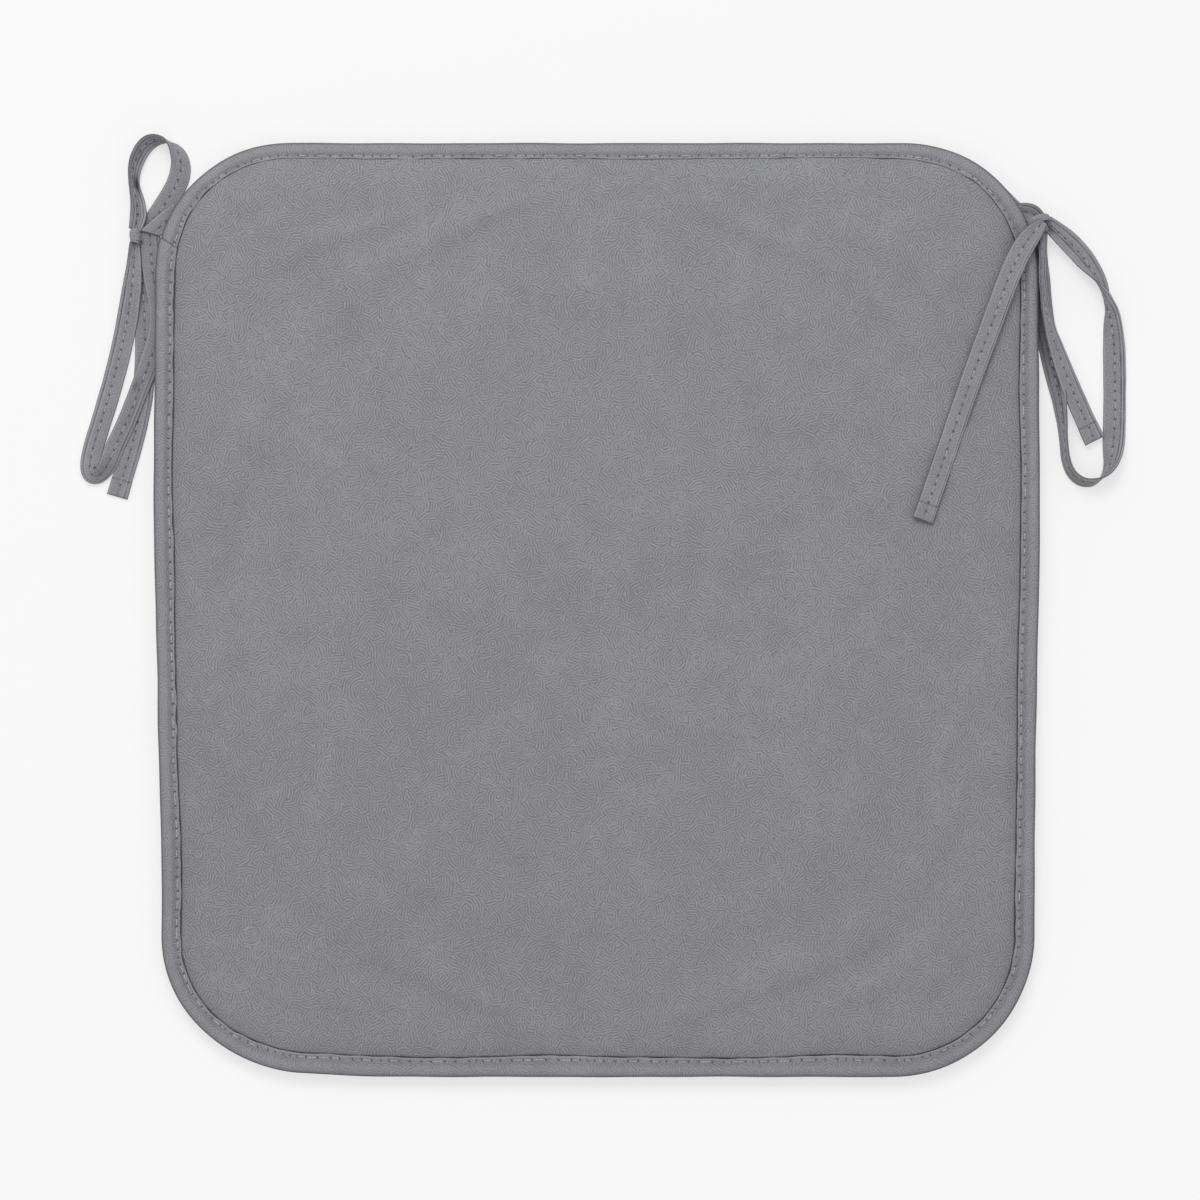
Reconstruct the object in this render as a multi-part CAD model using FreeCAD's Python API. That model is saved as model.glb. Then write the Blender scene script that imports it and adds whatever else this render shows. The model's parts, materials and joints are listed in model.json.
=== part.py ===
"""Chair seat pad: a thin bound cushion with a tie tape at each rear corner.

Millimetres, +Z up, +Y towards the chair's back (the ties' side), +X to the right
seen from above. The origin is on the underside, in the middle of the pad.
One STEP per piece goes to parts/NODE.step.
"""
import FreeCAD, Part
import math
import os

from FreeCAD import Vector

# ---------------------------------------------------------------- driving dimensions
# The pad's outline: a rounded square whose sides draw in slightly to the front.
rear_width = 379.0
front_width = 374.0
pad_depth = 400.0
rear_corner_radius = 57.0
front_corner_radius = 61.0

# The pad's thickness, and how wide a strip the covers need to come down to the binding.
pad_thickness = 11.0
slope_width = 7.5

# The cloth. The binding is two layers of it, turned under.
cover_cloth = 0.8
binding_cloth = 1.2

# The binding: a strip folded round the edge, flat above and below, round at the nose. The
# puff of the foam holds it above what the pad lies on, and its fold holds the covers' flanges.
binding_width = 8.3
binding_low = 3.0
seam_allowance_gap = 0.9
flange_gap = 0.4

# The lockstitch that holds the binding, one thread above and one below.
stitch_from_binding_edge = 1.1
thread_width = 0.45
thread_height = 0.25

# The tie tape: cloth folded to a flat strip and sewn down the middle.
tape_width = 9.0
tape_thickness = 1.0
root_sewn_length = 5.5
left_root_free_length = 2.4
right_root_free_length = 9.1

# The tack across each root.
tack_bars = 4
tack_pitch = 1.2
tack_length = 6.4

# The knots: small blocks of wrapped tape, placed from the point where the tape leaves the pad.
left_knot_size = (4.2, 5.8, 5.2)
left_knot_offset = (-14.7, -6.7)
right_knot_size = (6.2, 7.4, pad_thickness - 2.7)
right_knot_offset = (10.6, -8.8)
knot_rounding = 1.2
knot_lift = 0.2

# Air left between soft pieces that lie on each other.
clearance = 0.3

# ---------------------------------------------------------------- derived levels
binding_height = 2.0 * (binding_cloth + cover_cloth + clearance) + flange_gap
binding_high = binding_low + binding_height
bottom_flange_low = binding_low + binding_cloth + clearance
top_flange_high = binding_high - binding_cloth - clearance
slope_start = binding_width + clearance
flange_edge = binding_cloth + seam_allowance_gap
stitch_inset = binding_width - stitch_from_binding_edge

# ---------------------------------------------------------------- where the tapes leave the pad
# Each root is a flat tab under the binding. Its middle line crosses the pad's outer edge on
# a rear corner's arc, at this angle round the arc's centre, and runs outwards with this
# heading (both in degrees from +X).
left_root_angle = 154.8
left_root_heading = 208.0
right_root_angle = 33.8
right_root_heading = -38.0

# ---------------------------------------------------------------- the tapes' routes
# Middle lines of the tape, each point chosen where the tape turns: across and along from the
# point where the tape leaves the pad, and up from the surface that the pad lies on. The tail
# that lies over the pad counts its heights from the top cover instead.
left_upper_loop_route = [
    (-14.7, -3.4, 4.0),
    (-15.9, 4.3, 3.4),
    (-16.5, 15.3, 1.9),
    (-15.1, 26.1, 0.9),
    (-8.5, 32.9, 0.7),
    (0.3, 32.9, 0.7),
    (6.3, 26.3, 0.7),
    (5.7, 17.1, 0.7),
    (0.1, 7.1, 0.7),
    (-6.3, -0.7, 0.7),
    (-11.7, -4.7, 0.7),
]
left_lower_loop_route = [
    (-4.4, -1.8, 2.5),
    (-6.6, -5.5, 2.4),
    (-7.5, -13.5, 2.2),
    (-7.7, -26.3, 2.1),
    (-7.7, -42.3, 2.0),
    (-9.1, -58.3, 2.0),
    (-13.5, -73.8, 2.0),
    (-18.9, -87.8, 2.0),
    (-22.5, -99.7, 2.1),
    (-23.9, -109.7, 2.1),
    (-29.6, -113.3, 1.6),
    (-35.1, -110.1, 1.0),
    (-34.7, -101.3, 0.7),
    (-30.9, -88.8, 0.7),
    (-26.3, -73.8, 0.7),
    (-21.7, -58.8, 1.4),
    (-18.1, -43.8, 2.8),
    (-15.7, -28.3, 3.5),
    (-14.7, -18.3, 3.6),
    (-14.6, -9.9, 3.6),
]
left_tail_route = [
    (-13.2, -10.0, 0.7),
    (-12.5, -20.3, 0.7),
    (-12.1, -37.3, 0.6),
    (-10.7, -55.3, 0.6),
    (-10.7, -73.3, 0.6),
    (-13.9, -91.3, 0.6),
    (-18.7, -109.3, 0.6),
    (-21.5, -118.8, 0.6),
]
right_outer_loop_route = [
    (15.0, -11.3, 5.2),
    (21.5, -16.1, 3.9),
    (28.9, -24.5, 1.5),
    (35.5, -34.7, 0.7),
    (39.9, -48.7, 0.6),
    (42.1, -65.7, 0.6),
    (42.3, -83.7, 0.6),
    (41.8, -100.2, 0.6),
    (40.9, -114.7, 0.6),
    (34.4, -119.9, 0.6),
    (26.3, -118.6, 0.6),
    (21.7, -111.7, 0.6),
    (21.3, -98.7, 0.6),
    (19.5, -82.7, 0.6),
    (15.9, -66.7, 0.6),
    (12.1, -50.7, 0.6),
    (10.5, -34.7, 0.6),
    (10.3, -22.3, 0.9),
    (10.7, -12.8, 1.2),
]
right_top_tail_route = [
    (10.1, -10.9, -1.8),
    (6.1, -13.9, -0.8),
    (1.1, -20.1, 1.0),
    (-4.1, -32.3, 1.2),
    (-11.1, -51.9, 0.9),
    (-18.5, -71.9, 0.9),
    (-25.9, -93.1, 0.9),
    (-33.7, -116.1, 0.9),
    (-40.8, -136.5, 0.9),
]
right_side_tail_route = [
    (11.1, -12.9, 2.9),
    (11.3, -22.7, 2.2),
    (12.1, -36.7, 2.0),
    (15.3, -54.7, 2.0),
    (20.9, -72.7, 2.0),
    (27.7, -88.7, 2.0),
    (34.3, -102.1, 2.0),
]


# ---------------------------------------------------------------- outlines
def outline(inset, height):
    """The pad's outline moved in by inset, as lines and arcs, starting mid-front."""
    half_rear = rear_width / 2.0
    half_front = front_width / 2.0
    half_depth = pad_depth / 2.0
    lean = math.atan2(half_rear - half_front, pad_depth)
    front_half = half_front + math.tan(lean) * inset - inset / math.cos(lean)
    rear_half = half_rear - math.tan(lean) * inset - inset / math.cos(lean)
    reach = half_depth - inset
    corners = [
        (Vector(front_half, -reach, height), front_corner_radius - inset),
        (Vector(rear_half, reach, height), rear_corner_radius - inset),
        (Vector(-rear_half, reach, height), rear_corner_radius - inset),
        (Vector(-front_half, -reach, height), front_corner_radius - inset),
    ]
    start = Vector(0.0, -reach, height)
    edges = []
    here = start
    for number, (corner, radius) in enumerate(corners):
        after = corners[number + 1][0] if number < 3 else start
        enter, middle, leave = rounded_corner(here, corner, after, radius)
        edges.append(Part.LineSegment(here, enter).toShape())
        edges.append(Part.Arc(enter, middle, leave).toShape())
        here = leave
    edges.append(Part.LineSegment(here, start).toShape())
    return Part.Wire(edges)


def rounded_corner(before, corner, after, radius):
    """Where an arc of this radius starts, its middle and its end, at one corner."""
    inward = (before - corner).normalize()
    outward = (after - corner).normalize()
    turn = math.pi - inward.getAngle(outward)
    tangent = radius * math.tan(turn / 2.0)
    bisector = (inward + outward).normalize()
    centre = corner + bisector * (radius / math.cos(turn / 2.0))
    return corner + inward * tangent, centre - bisector * radius, corner + outward * tangent


def stack(levels):
    """A solid through the outlines at (inset, height), one above the other."""
    return Part.makeLoft([outline(inset, height) for inset, height in levels], True, True)


def flat_ring(outer_inset, inner_inset, low, high):
    """A flat band that follows the outline."""
    band = Part.Face(outline(outer_inset, low)).cut(Part.Face(outline(inner_inset, low)))
    return band.extrude(Vector(0.0, 0.0, high - low))


# ---------------------------------------------------------------- the pad
def bottom_cover():
    """Flat under the foam, sloping up to a flange that lies inside the binding."""
    top = bottom_flange_low + cover_cloth
    skin = stack([
        (slope_start + slope_width, 0.0),
        (slope_start, bottom_flange_low),
        (slope_start, top),
    ])
    hollow = stack([
        (slope_start + slope_width + cover_cloth, cover_cloth),
        (slope_start + cover_cloth, top),
    ])
    flange = flat_ring(flange_edge, slope_start, bottom_flange_low, top)
    return skin.cut(hollow).fuse(flange).removeSplitter()


def top_cover():
    """The bottom cover's counterpart: up from its flange and flat over the foam."""
    low = top_flange_high - cover_cloth
    skin = stack([
        (slope_start, low),
        (slope_start, top_flange_high),
        (slope_start + slope_width, pad_thickness),
    ])
    hollow = stack([
        (slope_start + cover_cloth, low),
        (slope_start + slope_width + cover_cloth, pad_thickness - cover_cloth),
    ])
    flange = flat_ring(flange_edge, slope_start, low, top_flange_high)
    return skin.cut(hollow).fuse(flange).removeSplitter()


def foam_core():
    """One sheet of foam, its edges pressed to a blunt wedge between the covers."""
    inset_edge = slope_start + cover_cloth + clearance
    inset_flat = slope_start + slope_width + cover_cloth + clearance
    low_edge = bottom_flange_low + cover_cloth
    high_edge = top_flange_high - cover_cloth
    return stack([
        (inset_flat, cover_cloth),
        (inset_edge, low_edge),
        (inset_edge, high_edge),
        (inset_flat, pad_thickness - cover_cloth),
    ])


def edge_binding():
    """The folded strip: a U lying on its side, swept once round the outline."""
    middle = (binding_low + binding_high) / 2.0
    nose_radius = binding_height / 2.0
    inner_low = binding_low + binding_cloth
    inner_high = binding_high - binding_cloth

    def at(inset, height):
        return Vector(0.0, inset - pad_depth / 2.0, height)

    def line(start, end):
        return Part.LineSegment(at(*start), at(*end)).toShape()

    def arc(start, between, end):
        return Part.Arc(at(*start), at(*between), at(*end)).toShape()

    section = Part.Wire([
        line((binding_width, binding_high), (nose_radius, binding_high)),
        arc((nose_radius, binding_high), (0.0, middle), (nose_radius, binding_low)),
        line((nose_radius, binding_low), (binding_width, binding_low)),
        line((binding_width, binding_low), (binding_width, inner_low)),
        line((binding_width, inner_low), (nose_radius, inner_low)),
        arc((nose_radius, inner_low), (binding_cloth, middle), (nose_radius, inner_high)),
        line((nose_radius, inner_high), (binding_width, inner_high)),
        line((binding_width, inner_high), (binding_width, binding_high)),
    ])
    return outline(0.0, middle).makePipeShell([section], True, True)


def binding_thread(low):
    """The run of stitches round the binding, as one thin band."""
    return flat_ring(stitch_inset, stitch_inset + thread_width, low, low + thread_height)


# ---------------------------------------------------------------- the ties
def tie_exit(arc_number, angle):
    """The point of the pad's outer edge, on one corner's arc, where a tape leaves."""
    arc = outline(0.0, 0.0).Edges[arc_number].Curve
    turned = Vector(math.cos(math.radians(angle)), math.sin(math.radians(angle)), 0.0)
    return arc.Center + turned * arc.Radius


def under_binding(shape, spot, heading):
    """A copy of shape turned to the tape's heading and moved to the binding's underside."""
    copy = shape.copy()
    copy.rotate(Vector(0.0, 0.0, 0.0), Vector(0.0, 0.0, 1.0), heading)
    copy.translate(spot + Vector(0.0, 0.0, binding_low))
    return copy


def tie_root(spot, heading, free_length):
    """The sewn end of a tape: a flat tab against the binding's underside."""
    tab = Part.makeBox(root_sewn_length + free_length, tape_width, tape_thickness,
                       Vector(-root_sewn_length, -tape_width / 2.0, -tape_thickness))
    return under_binding(tab, spot, heading)


def tie_tack(spot, heading):
    """Short bars of thread across the tab, against its underside."""
    bars = []
    for number in range(tack_bars):
        along = -root_sewn_length + tack_pitch * (number + 0.5)
        bar = Part.makeBox(thread_width, tack_length, thread_height,
                           Vector(along, -tack_length / 2.0, -tape_thickness - thread_height))
        bars.append(under_binding(bar, spot, heading))
    return Part.makeCompound(bars)


def knot(size, spot, offset):
    """A rounded block standing beside the binding."""
    width, depth, height = size
    block = Part.makeBox(width, depth, height, Vector(-width / 2.0, -depth / 2.0, knot_lift))
    block = block.makeFillet(knot_rounding, block.Edges)
    block.translate(spot + Vector(offset[0], offset[1], 0.0))
    return block


def tape(name, spot, route, base=0.0):
    """A flat tape along straight runs joined by tangent arcs."""
    points = [spot + Vector(across, along, base + up) for across, along, up in route]
    edges = []
    radii = []
    here = points[0]
    for before, corner, after in zip(points, points[1:], points[2:]):
        shorter = min((corner - before).Length, (after - corner).Length)
        turn = (corner - before).getAngle(after - corner)
        radius = 0.45 * shorter / math.tan(turn / 2.0)
        enter, middle, leave = rounded_corner(before, corner, after, radius)
        edges.append(Part.LineSegment(here, enter).toShape())
        edges.append(Part.Arc(enter, middle, leave).toShape())
        radii.append(radius)
        here = leave
    edges.append(Part.LineSegment(here, points[-1]).toShape())
    path = Part.Wire(edges)

    ahead = (points[1] - points[0]).normalize()
    side = Vector(0.0, 0.0, 1.0).cross(ahead).normalize() * (tape_width / 2.0)
    up = ahead.cross(side).normalize() * (tape_thickness / 2.0)
    section = Part.makePolygon([
        points[0] + side + up,
        points[0] - side + up,
        points[0] - side - up,
        points[0] + side - up,
        points[0] + side + up,
    ])
    sweep = Part.BRepOffsetAPI.MakePipeShell(path)
    sweep.setBiNormalMode(Vector(0.0, 0.0, 1.0))
    sweep.setTransitionMode(0)
    sweep.add(section)
    sweep.build()
    sweep.makeSolid()
    solid = sweep.shape()
    full = tape_width * tape_thickness * path.Length
    print(name, "length", round(path.Length, 1), "volume", round(solid.Volume, 1),
          "section x length", round(full, 1), "valid", solid.isValid())
    print("   radii", " ".join(str(round(radius, 1)) for radius in radii))
    return solid


# ---------------------------------------------------------------- all the pieces
rear_right_arc = 3
rear_left_arc = 5
left_exit = tie_exit(rear_left_arc, left_root_angle)
right_exit = tie_exit(rear_right_arc, right_root_angle)

pieces = {
    "top_cover": top_cover(),
    "bottom_cover": bottom_cover(),
    "foam_core": foam_core(),
    "edge_binding": edge_binding(),
    "binding_needle_thread": binding_thread(binding_high),
    "binding_bobbin_thread": binding_thread(binding_low - thread_height),
    "left_tie_root": tie_root(left_exit, left_root_heading, left_root_free_length),
    "right_tie_root": tie_root(right_exit, right_root_heading, right_root_free_length),
    "left_tie_tack_thread": tie_tack(left_exit, left_root_heading),
    "right_tie_tack_thread": tie_tack(right_exit, right_root_heading),
    "left_tie_knot": knot(left_knot_size, left_exit, left_knot_offset),
    "right_tie_knot": knot(right_knot_size, right_exit, right_knot_offset),
    "left_tie_upper_loop": tape("left_tie_upper_loop", left_exit, left_upper_loop_route),
    "left_tie_lower_loop": tape("left_tie_lower_loop", left_exit, left_lower_loop_route),
    "left_tie_tail": tape("left_tie_tail", left_exit, left_tail_route),
    "right_tie_outer_loop": tape("right_tie_outer_loop", right_exit, right_outer_loop_route),
    "right_tie_top_tail": tape("right_tie_top_tail", right_exit, right_top_tail_route,
                               pad_thickness),
    "right_tie_side_tail": tape("right_tie_side_tail", right_exit, right_side_tail_route),
}

os.makedirs("parts", exist_ok=True)
for node, shape in pieces.items():
    box = shape.BoundBox
    print(node, "solids", len(shape.Solids), "valid", shape.isValid(),
          "from", round(box.XMin, 1), round(box.YMin, 1), round(box.ZMin, 1),
          "to", round(box.XMax, 1), round(box.YMax, 1), round(box.ZMax, 1))
    shape.exportStep("parts/" + node + ".step")
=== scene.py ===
# %% [markdown]
# # A chair seat pad, sewn in Blender
# The pad is a thin sheet of foam between two cloth covers. A folded strip of the same cloth,
# the binding, is sewn round the edge, and at each rear corner a cloth tape is caught under it,
# knotted and left in loops and tails. This lesson sews the pad piece by piece.
#
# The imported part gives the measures. Everything here is in metres, so `mm` turns the
# maker's millimetres into them.

# %% Load the part that the cloth is built round
import json
import math
import random

import bpy
import numpy as np
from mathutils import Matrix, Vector, noise
from mathutils.bvhtree import BVHTree


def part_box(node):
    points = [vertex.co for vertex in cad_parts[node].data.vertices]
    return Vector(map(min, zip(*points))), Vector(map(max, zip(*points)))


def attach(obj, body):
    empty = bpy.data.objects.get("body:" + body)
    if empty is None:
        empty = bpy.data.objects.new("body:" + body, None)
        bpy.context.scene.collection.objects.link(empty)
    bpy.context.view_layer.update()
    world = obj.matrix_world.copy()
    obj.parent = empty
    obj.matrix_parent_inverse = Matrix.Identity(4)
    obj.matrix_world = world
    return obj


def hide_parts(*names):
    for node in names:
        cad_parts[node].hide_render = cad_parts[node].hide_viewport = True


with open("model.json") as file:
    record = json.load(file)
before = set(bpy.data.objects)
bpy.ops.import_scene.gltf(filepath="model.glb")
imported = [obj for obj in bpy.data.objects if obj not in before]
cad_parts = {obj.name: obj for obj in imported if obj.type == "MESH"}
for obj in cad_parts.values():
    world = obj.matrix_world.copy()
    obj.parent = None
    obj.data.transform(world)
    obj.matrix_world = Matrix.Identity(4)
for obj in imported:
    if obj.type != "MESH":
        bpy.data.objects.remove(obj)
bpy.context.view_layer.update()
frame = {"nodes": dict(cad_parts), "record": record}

mm = 0.001
print("nodes:", ", ".join(sorted(frame["nodes"])))

# %% [markdown]
# ## Shader maths that reads like maths
# A node tree can be wired by hand, one link after another. Here a small class wraps a socket,
# so that `1 - nap * 0.3` adds the Math nodes itself. Colours and vectors have three numbers,
# and a Math node would turn them grey, so they go through Mix and Vector Math nodes instead.


# %% Wrap a socket
class Value:
    """An output of a node that takes part in ordinary sums."""

    def __init__(self, finish, socket):
        self.finish, self.socket = finish, socket

    def math(self, operation, first, second=0.0):
        return self.finish.node("ShaderNodeMath", {"operation": operation}, {0: first, 1: second})

    def __add__(self, other):
        return self.math("ADD", self, other)

    def __sub__(self, other):
        return self.math("SUBTRACT", self, other)

    def __rsub__(self, other):
        return self.math("SUBTRACT", other, self)

    def __mul__(self, other):
        return self.math("MULTIPLY", self, other)

    __radd__, __rmul__ = __add__, __mul__

    def sine(self):
        return self.math("SINE", self)

    def between(self, low, high):
        """0 below low, 1 above high, and a soft step in between."""
        return self.finish.node(
            "ShaderNodeMapRange", {"interpolation_type": "SMOOTHSTEP"},
            {"Value": self, "From Min": low, "From Max": high})


class Finish:
    """A material: one Principled shader, and one method that adds any other node."""

    def __init__(self, name, **constants):
        self.material = bpy.data.materials.new(name)
        self.material.use_nodes = True
        self.tree = self.material.node_tree
        self.shader = self.tree.nodes["Principled BSDF"]
        for socket, number in constants.items():
            self.shader.inputs[socket.replace("_", " ")].default_value = number

    def node(self, kind, settings=None, inputs=None, output=0):
        made = self.tree.nodes.new(kind)
        for name, setting in (settings or {}).items():
            setattr(made, name, setting)
        for name, value in (inputs or {}).items():
            if isinstance(value, Value):
                self.tree.links.new(value.socket, made.inputs[name])
            else:
                made.inputs[name].default_value = value
        return Value(self, made.outputs[output])

    def set(self, socket, value):
        self.tree.links.new(value.socket, self.shader.inputs[socket])

    def place(self):
        return self.node("ShaderNodeTexCoord", output="Object")

    def cloud(self, place, size, detail=2.0, roughness=0.5, distortion=0.0):
        """Soft noise whose patches are about this size, in metres."""
        return self.node("ShaderNodeTexNoise", {"noise_dimensions": "3D"}, {
            "Vector": place, "Scale": 1.0 / size, "Detail": detail,
            "Roughness": roughness, "Distortion": distortion})

    def tint(self, share, first, second):
        """A colour between two colours."""
        return self.node("ShaderNodeMix", {"data_type": "RGBA"},
                         {0: share, 6: first, 7: second}, output=2)

    def carried(self, name):
        """A number that each point of the mesh carries."""
        return self.node("ShaderNodeAttribute", {"attribute_name": name}, output="Fac")

    def relief(self, height, depth):
        """Lets a height, from 0 to 1, raise the surface by this depth in metres."""
        bump = self.node("ShaderNodeBump", {}, {"Strength": 1.0, "Distance": depth, "Height": height})
        self.set("Normal", bump)


# %% [markdown]
# ## The cloth
# The pad is covered in brushed microfibre. Its nap is combed this way and that, and leaves
# short curved strokes a millimetre apart. A woven pattern would be wrong here, and plain noise
# is too grainy. Instead most strokes come in patches: a flat Voronoi texture gives each patch
# its own direction, and the sine of the distance that way draws lines. Some are arcs round
# scattered points. A noise bends them all first, and another breaks them into strokes. Finer
# noise is the fuzz between them, and broad, faint noise the mottling of handled cloth.
#
# Two numbers that the mesh carries paint light and shade into the cloth's colour: painted
# shade darkens it in holes, grooves and folds, and a painted highlight turns it pale on a crest.


# %% Mix the brushed cloth
stroke_pitch = 1.16 * mm


def brushed_cloth(name, light, dark, nap_depth, contrast):
    finish = Finish(name, Roughness=0.92, Sheen_Weight=0.12, Sheen_Roughness=0.45,
                    Specular_IOR_Level=0.2)
    place = finish.place()
    swirl = finish.node("ShaderNodeTexNoise", {}, {
        "Vector": place, "Scale": 1 / (4.5 * mm), "Detail": 1.0}, output=1)
    bent = finish.node("ShaderNodeVectorMath", {"operation": "MULTIPLY_ADD"},
                       {0: swirl, 1: (1.6 * mm,) * 3, 2: place})

    def arcs(whorl):
        """Lines in rings round whorls of this size."""
        rings = finish.node("ShaderNodeTexVoronoi", {"voronoi_dimensions": "2D"},
                            {"Vector": bent, "Scale": 1 / whorl})
        return (rings * (math.tau * whorl / stroke_pitch)).sine()

    def hatches(patch):
        """Straight lines in patches of this size that each point their own way."""
        turn = finish.node("ShaderNodeTexVoronoi", {"voronoi_dimensions": "2D"},
                           {"Vector": bent, "Scale": 1 / patch}, output=1)
        turn = finish.node("ShaderNodeVectorMath", {"operation": "MULTIPLY_ADD"},
                           {0: turn, 1: (2.0, 2.0, 0.0), 2: (-1.0, -1.0, 0.0)})
        turn = finish.node("ShaderNodeVectorMath", {"operation": "NORMALIZE"}, {0: turn})
        along = finish.node("ShaderNodeVectorMath", {"operation": "DOT_PRODUCT"},
                            {0: turn, 1: bent}, output=1)
        return (along * (math.tau / stroke_pitch)).sine()

    patches = finish.cloud(place, 7.0 * mm, 1.0).between(0.54, 0.60)
    breaks = finish.cloud(place, 1.7 * mm, 1.0).between(0.46, 0.57)
    strokes = hatches(3.6 * mm) * (1.0 - patches) + arcs(10.0 * mm) * patches
    combed = strokes * (breaks * 0.8 + 0.2)
    fuzz = finish.cloud(place, 0.6 * mm, 1.0, 0.6)
    handled = finish.cloud(place, 14.0 * mm, 3.0, 0.62)
    broad = finish.cloud(place, 60.0 * mm, 2.0, 0.5)
    # each noise is a half on average, and 0.95 less brings their sum back to a half
    nap = combed * contrast + fuzz * 1.5 + handled * 0.9 + broad * 0.5 - 0.95
    cloth = finish.tint(nap, dark, light)
    # painted shade and painted highlight: a darker and a paler copy of the cloth, mixed in where the
    # mesh carries them
    pressed = tuple(part * 0.16 for part in dark[:3]) + (1.0,)
    rubbed = tuple(part * 1.45 for part in light[:3]) + (1.0,)
    cloth = finish.tint(finish.carried("rubbed"), cloth, rubbed)
    cloth = finish.tint(finish.carried("pressed"), cloth, pressed)
    finish.set("Base Color", cloth)
    finish.relief(combed * 0.3 + fuzz * 0.4 + handled * 0.3, nap_depth)
    return finish.material


def grey(lightness, cool=0.012):
    """A grey with a little blue in it, as linear light."""
    return (lightness, lightness * (1.0 + 0.3 * cool), lightness * (1.0 + 7.0 * cool), 1.0)


cover_finish = brushed_cloth("brushed_cover_cloth", grey(0.262), grey(0.172), 0.14 * mm, 1.35)
binding_finish = brushed_cloth("folded_binding_cloth", grey(0.261), grey(0.182), 0.09 * mm, 0.95)
tape_finish = brushed_cloth("folded_tape_cloth", grey(0.266), grey(0.182), 0.08 * mm, 0.5)

# %% [markdown]
# ## Thread and foam
# The thread is two-ply polyester, a shade lighter than the cloth. A wave texture winds its
# plies. The foam hardly shows, but it is a piece of its own: pale, dull and full of open
# cells, which a Voronoi texture gives.


# %% Mix the thread and the foam
def sewing_thread(name):
    finish = Finish(name, Roughness=0.6, Sheen_Weight=0.3, Specular_IOR_Level=0.35)
    place = finish.place()
    plies = finish.node("ShaderNodeTexWave", {"bands_direction": "DIAGONAL"}, {
        "Vector": place, "Scale": 1.0 / (3.0 * mm), "Distortion": 0.6})
    fluff = finish.cloud(place, 0.8 * mm)
    finish.set("Base Color", finish.tint(plies * 0.5 + fluff * 0.5, grey(0.26), grey(0.48)))
    finish.relief(plies, 0.05 * mm)
    return finish.material


def open_cell_foam(name):
    finish = Finish(name, Roughness=0.95, Specular_IOR_Level=0.1)
    place = finish.place()
    cells = finish.node("ShaderNodeTexVoronoi", {}, {"Vector": place, "Scale": 1.0 / (0.9 * mm)})
    aged = finish.cloud(place, 30.0 * mm)
    finish.set("Base Color", finish.tint(cells * 0.6 + aged * 0.4,
                                         (0.52, 0.48, 0.36, 1.0), (0.82, 0.79, 0.68, 1.0)))
    finish.relief(cells, 0.3 * mm)
    return finish.material


thread_finish = sewing_thread("grey_sewing_thread")
foam_finish = open_cell_foam("open_cell_foam")

# %% [markdown]
# ## Making a piece
# Each piece is a mesh made from points and faces. One function turns them into an object,
# shades it smooth, lets it ride on the pad's only body, and hides the solids of the part that
# it stands for.


# %% Turn points and faces into a piece
def piece(name, points, faces, finish, slot, stands_for=(), **carried):
    mesh = bpy.data.meshes.new(name)
    mesh.from_pydata([tuple(point) for point in points], [], faces)
    mesh.shade_smooth()
    mesh.materials.append(finish)
    for what, numbers in carried.items():
        mesh.attributes.new(what, "FLOAT", "POINT").data.foreach_set(
            "value", np.asarray(numbers, np.float32))
    made = bpy.data.objects.new(name, mesh)
    bpy.context.scene.collection.objects.link(made)
    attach(made, "root")
    if stands_for:
        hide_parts(*stands_for)
    print(name, len(mesh.vertices), "points", len(mesh.polygons), "faces")
    return made


def ring_faces(first, second, count):
    """Quads between two closed rings of points that start at these numbers."""
    return [(first + i, first + (i + 1) % count, second + (i + 1) % count, second + i)
            for i in range(count)]


def strip_faces(sections, around, closed=True):
    """Quads along a strip: each of its sections is a ring of this many points."""
    faces = []
    for i in range(sections if closed else sections - 1):
        here, there = i * around, (i + 1) % sections * around
        faces += [(here + k, there + k, there + (k + 1) % around, here + (k + 1) % around)
                  for k in range(around)]
    return faces


# %% [markdown]
# ## The pad's outline
# The outline is a rounded square whose sides draw in a little towards the front. All the
# lines that follow it, the stitches, the binding's folds and the covers' slopes, lie at some
# distance inside it, their inset. The four corner arcs keep their centres whatever the inset,
# so one table of edge points and outward directions gives every line.


# %% Walk round the outline
binding_low, binding_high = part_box("edge_binding")
rear_corner_radius = 57.0 * mm
front_corner_radius = 61.0 * mm
side_lean = 2.5 / 400.0
half_depth = (binding_high.y - binding_low.y) / 2
rear_half = (binding_high.x - binding_low.x) / 2 + side_lean * rear_corner_radius
front_half = rear_half - side_lean * 2 * half_depth

# where the cutter's hand went a little wide or tight, in mm: across, along, reach, pull outwards
hand_pulls = [(189, 35, 60, 1.3), (-190, 45, 65, 1.3), (-186, -115, 45, -1.0), (-150, -188, 38, -2.6)]


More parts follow.
